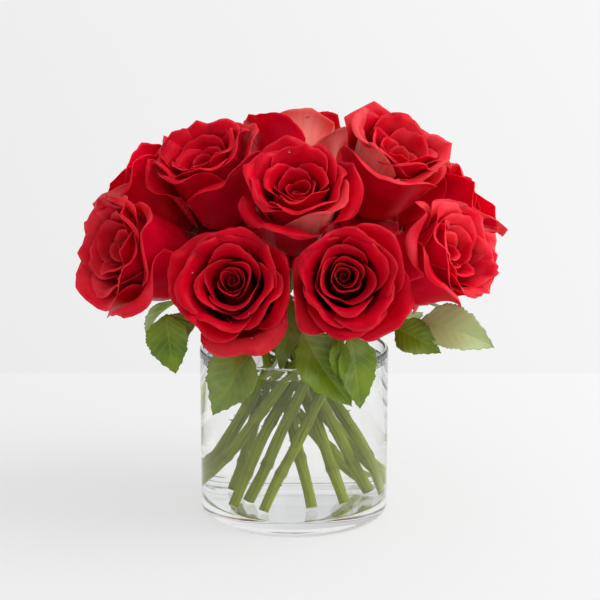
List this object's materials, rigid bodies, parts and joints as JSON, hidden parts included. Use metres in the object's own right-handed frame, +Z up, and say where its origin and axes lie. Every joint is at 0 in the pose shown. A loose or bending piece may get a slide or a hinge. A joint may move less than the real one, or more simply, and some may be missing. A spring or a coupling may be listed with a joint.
{
  "type": "roses in a vase",
  "caption": "Dense round bouquet of red garden roses with leafy green stems, standing in a clear straight-sided cylindrical glass vase filled with water.",
  "frame": {"origin": "centre of the vase's flat underside, on the surface it stands on", "axes": "+Z up along the vase's axis, +X to the right and -Y towards the viewer of the picture, so the two lowest front roses face -Y"},
  "size_m": [0.279, 0.2051, 0.2738],
  "materials": {
    "rose_petal": "deep red velvety petals, soft satin sheen, paler pink outer faces",
    "stem_green": "fresh green plant stems and leaves, satin",
    "vase_glass": "clear polished glass",
    "vase_water": "clear still water"
  },
  "bodies": {
    "root": {"vase": "vase_glass", "water": "vase_water", "stem_left": "stem_green", "stem_front_left": "stem_green", "stem_front_right": "stem_green", "stem_right": "stem_green", "stem_right_back": "stem_green", "stem_back_right": "stem_green", "stem_back_left": "stem_green", "stem_left_back": "stem_green", "stem_centre_top": "stem_green", "stem_top_right": "stem_green", "stem_top_back": "stem_green", "stem_top_left": "stem_green", "bloom_left": "rose_petal", "bloom_front_left": "rose_petal", "bloom_front_right": "rose_petal", "bloom_right": "rose_petal", "bloom_right_back": "rose_petal", "bloom_back_right": "rose_petal", "bloom_back_left": "rose_petal", "bloom_left_back": "rose_petal", "bloom_centre_top": "rose_petal", "bloom_top_right": "rose_petal", "bloom_top_back": "rose_petal", "bloom_top_left": "rose_petal"}
  },
  "joints": []
}
